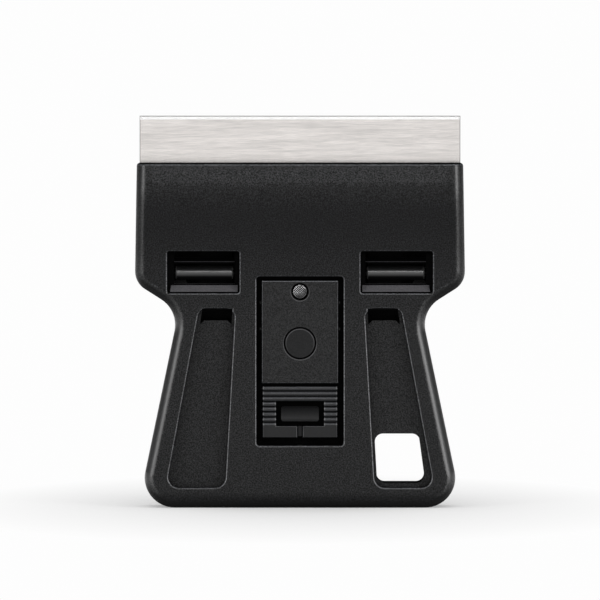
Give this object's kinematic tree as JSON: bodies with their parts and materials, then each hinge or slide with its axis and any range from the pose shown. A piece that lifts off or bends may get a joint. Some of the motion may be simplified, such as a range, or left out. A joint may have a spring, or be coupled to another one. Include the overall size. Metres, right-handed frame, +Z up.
{
  "type": "ceramic hob scraper",
  "caption": "Flat waisted hand scraper for glass and ceramic hobs, with a wide retracting steel blade, a thumb slide with a lock button, finger pockets and a hanging hole.",
  "frame": {"origin": "centre of the base on the surface that the scraper stands on", "axes": "+Z up from the base to the blade's edge, -Y out of the front with the thumb slide, +X to the right seen from the front, along the blade"},
  "size_m": [0.0614, 0.012, 0.073],
  "materials": {
    "shell_plastic": "near-black moulded plastic with a fine spark-eroded grain",
    "cradle_plastic": "dark grey moulded plastic",
    "carrier_plastic": "black moulded plastic, low friction grade",
    "slide_plastic": "near-black moulded plastic with a finer grain than the shells",
    "button_plastic": "dark grey satin plastic",
    "roller_plastic": "dark grey turned plastic with a satin gloss",
    "blade_steel": "steel strip brushed along the blade, with a bright ground edge",
    "spring_steel": "hardened spring steel",
    "pin_steel": "ground steel pin",
    "rivet_steel": "bright steel with a cross-knurled head",
    "screw_steel": "darkened steel"
  },
  "bodies": {
    "housing": {"front_shell": "shell_plastic", "back_shell": "shell_plastic", "housing_screws": "screw_steel", "roller_cradle_left": "cradle_plastic", "roller_cradle_right": "cradle_plastic", "roller_pin_left": "pin_steel", "roller_pin_right": "pin_steel"},
    "carriage": {"blade_carrier": "carrier_plastic", "blade": "blade_steel", "keeper_screws": "screw_steel", "slide_plate": "slide_plastic", "slide_rivet": "rivet_steel", "thumb_grip": "slide_plastic", "lock_spring": "spring_steel", "release_spring": "spring_steel"},
    "keeper": {"blade_keeper": "spring_steel"},
    "lock": {"lock_button": "button_plastic"},
    "release": {"release_button": "slide_plastic"},
    "left_roller": {"guide_roller_left": "roller_plastic"},
    "right_roller": {"guide_roller_right": "roller_plastic"}
  },
  "joints": [
    {"name": "blade_slide", "type": "slide", "parent": "housing", "child": "carriage", "axis": [0, 0, 1], "range_m": [-0.0092, 0]},
    {"name": "lock_press", "type": "slide", "parent": "carriage", "child": "lock", "axis": [0, 1, 0], "range_m": [0, 0.0006], "stiffness_N_per_m": 400, "springref_m": -0.0008, "deforming": ["lock_spring"]},
    {"name": "release_press", "type": "slide", "parent": "carriage", "child": "release", "axis": [0, 1, 0], "range_m": [0, 0.00045], "stiffness_N_per_m": 500, "springref_m": -0.001, "deforming": ["release_spring"]},
    {"name": "keeper_lift", "type": "hinge", "parent": "carriage", "child": "keeper", "pos_m": [0, 0.0023, 0.0132], "axis": [-1, 0, 0], "range_deg": [0, 1.48]},
    {"name": "left_roller_spin", "type": "hinge", "parent": "housing", "child": "left_roller", "pos_m": [-0.01784, -0.0033, 0.0438], "axis": [1, 0, 0], "range_deg": [-420, 0]},
    {"name": "right_roller_spin", "type": "hinge", "parent": "housing", "child": "right_roller", "pos_m": [0.01784, -0.0033, 0.0438], "axis": [1, 0, 0], "range_deg": [-420, 0]}
  ],
  "couplings": [
    {"joint": "left_roller_spin", "follows": "blade_slide", "rad_per_m": 769.23},
    {"joint": "right_roller_spin", "follows": "blade_slide", "rad_per_m": 769.23},
    {"joint": "keeper_lift", "follows": "release_press", "rad_per_m": 57.175}
  ]
}
